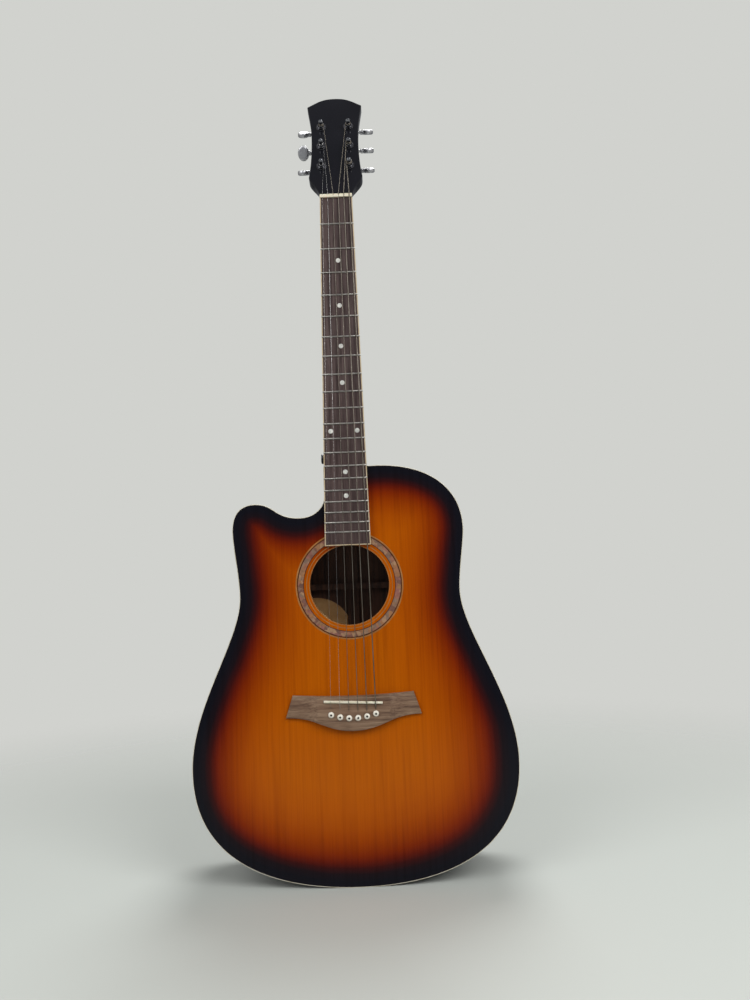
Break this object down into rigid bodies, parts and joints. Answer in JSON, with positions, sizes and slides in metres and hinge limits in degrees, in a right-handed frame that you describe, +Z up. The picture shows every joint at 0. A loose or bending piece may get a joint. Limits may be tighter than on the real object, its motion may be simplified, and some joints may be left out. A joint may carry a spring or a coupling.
{
  "type": "acoustic guitar",
  "caption": "Steel-string acoustic guitar with one cutaway, strung for a left-handed player, with a hollow braced body, an adjustable neck and geared tuners.",
  "frame": {"origin": "level with the tail of the body, under the middle of the whole guitar's width and depth", "axes": "+Z up the neck, +X to the right as seen from the front, -Y out of the front; the cutaway is on the -X side"},
  "size_m": [0.403, 0.1304, 1.0477],
  "materials": {
    "sunburst_top": "gloss sunburst, amber in the middle to black at the edge",
    "black_gloss": "gloss black lacquer",
    "binding": "cream plastic, scraped and lacquered",
    "fingerboard": "open grain, oiled",
    "bridge_wood": "open grain, oiled",
    "bone": "polished white",
    "pin_plastic": "moulded white with a dark dot",
    "pearl": "grey pearl inlay under lacquer",
    "fret_wire": "nickel silver, polished",
    "spruce": "bare, sanded",
    "mahogany": "bare, sanded",
    "chrome": "polished",
    "steel": "plain",
    "string_steel": "bright plain wire",
    "string_bronze": "wound wire"
  },
  "bodies": {
    "guitar": {"soundboard": "sunburst_top", "rosette": "pearl", "back_plate": "black_gloss", "top_binding": "binding", "back_binding": "binding", "side_bass": "black_gloss", "side_treble": "black_gloss", "neck_block": "mahogany", "tail_block": "mahogany", "top_lining": "mahogany", "back_lining": "mahogany", "top_bracing": "spruce", "upper_brace": "spruce", "back_bracing": "mahogany", "bridge_plate": "mahogany", "neck": "black_gloss", "strap_button": "chrome", "truss_rod": "steel", "fingerboard": "fingerboard", "frets": "fret_wire", "nut": "bone", "bridge": "bridge_wood", "saddle": "bone", "bridge_pin_1": "pin_plastic", "bridge_pin_2": "pin_plastic", "bridge_pin_3": "pin_plastic", "bridge_pin_4": "pin_plastic", "bridge_pin_5": "pin_plastic", "bridge_pin_6": "pin_plastic", "string_1": "string_steel", "string_2": "string_steel", "string_3": "string_bronze", "string_4": "string_bronze", "string_5": "string_bronze", "string_6": "string_bronze", "tuner_bushing_1": "chrome", "tuner_bushing_2": "chrome", "tuner_bushing_3": "chrome", "tuner_bushing_4": "chrome", "tuner_bushing_5": "chrome", "tuner_bushing_6": "chrome", "tuner_case_1": "chrome", "tuner_case_2": "chrome", "tuner_case_3": "chrome", "tuner_case_4": "chrome", "tuner_case_5": "chrome", "tuner_case_6": "chrome"},
    "truss_nut": {"truss_rod_nut": "steel"},
    "button_1": {"tuner_button_1": "chrome"},
    "button_2": {"tuner_button_2": "chrome"},
    "button_3": {"tuner_button_3": "chrome"},
    "button_4": {"tuner_button_4": "chrome"},
    "button_5": {"tuner_button_5": "chrome"},
    "button_6": {"tuner_button_6": "chrome"},
    "post_1": {"tuner_post_1": "chrome"},
    "post_2": {"tuner_post_2": "chrome"},
    "post_3": {"tuner_post_3": "chrome"},
    "post_4": {"tuner_post_4": "chrome"},
    "post_5": {"tuner_post_5": "chrome"},
    "post_6": {"tuner_post_6": "chrome"}
  },
  "joints": [
    {"name": "truss_nut_turn", "type": "hinge", "parent": "guitar", "child": "truss_nut", "pos_m": [0, -0.04548, 0.447], "axis": [0, 0, 1], "range_deg": [-360, 360]},
    {"name": "button_1_turn", "type": "hinge", "parent": "guitar", "child": "button_1", "pos_m": [-0.0188, -0.01865, 0.93367], "axis": [-1, 0, 0], "continuous": true},
    {"name": "button_2_turn", "type": "hinge", "parent": "guitar", "child": "button_2", "pos_m": [-0.0188, -0.00943, 0.96807], "axis": [-1, 0, 0], "continuous": true},
    {"name": "button_3_turn", "type": "hinge", "parent": "guitar", "child": "button_3", "pos_m": [-0.0188, -0.00048, 1.00148], "axis": [-1, 0, 0], "continuous": true},
    {"name": "button_4_turn", "type": "hinge", "parent": "guitar", "child": "button_4", "pos_m": [0.0188, -0.00048, 1.00148], "axis": [1, 0, 0], "continuous": true},
    {"name": "button_5_turn", "type": "hinge", "parent": "guitar", "child": "button_5", "pos_m": [0.0188, -0.00943, 0.96807], "axis": [1, 0, 0], "continuous": true},
    {"name": "button_6_turn", "type": "hinge", "parent": "guitar", "child": "button_6", "pos_m": [0.0188, -0.01865, 0.93367], "axis": [1, 0, 0], "continuous": true},
    {"name": "post_1_turn", "type": "hinge", "parent": "guitar", "child": "post_1", "pos_m": [-0.0188, -0.04133, 0.9294], "axis": [0, -0.9659, 0.2588], "continuous": true},
    {"name": "post_2_turn", "type": "hinge", "parent": "guitar", "child": "post_2", "pos_m": [-0.0188, -0.03211, 0.9638], "axis": [0, -0.9659, 0.2588], "continuous": true},
    {"name": "post_3_turn", "type": "hinge", "parent": "guitar", "child": "post_3", "pos_m": [-0.0188, -0.02315, 0.99721], "axis": [0, -0.9659, 0.2588], "continuous": true},
    {"name": "post_4_turn", "type": "hinge", "parent": "guitar", "child": "post_4", "pos_m": [0.0188, -0.02315, 0.99721], "axis": [0, -0.9659, 0.2588], "continuous": true},
    {"name": "post_5_turn", "type": "hinge", "parent": "guitar", "child": "post_5", "pos_m": [0.0188, -0.03211, 0.9638], "axis": [0, -0.9659, 0.2588], "continuous": true},
    {"name": "post_6_turn", "type": "hinge", "parent": "guitar", "child": "post_6", "pos_m": [0.0188, -0.04133, 0.9294], "axis": [0, -0.9659, 0.2588], "continuous": true}
  ],
  "couplings": [
    {"joint": "post_1_turn", "follows": "button_1_turn", "ratio": 0.071429},
    {"joint": "post_2_turn", "follows": "button_2_turn", "ratio": 0.071429},
    {"joint": "post_3_turn", "follows": "button_3_turn", "ratio": 0.071429},
    {"joint": "post_4_turn", "follows": "button_4_turn", "ratio": 0.071429},
    {"joint": "post_5_turn", "follows": "button_5_turn", "ratio": 0.071429},
    {"joint": "post_6_turn", "follows": "button_6_turn", "ratio": 0.071429}
  ]
}
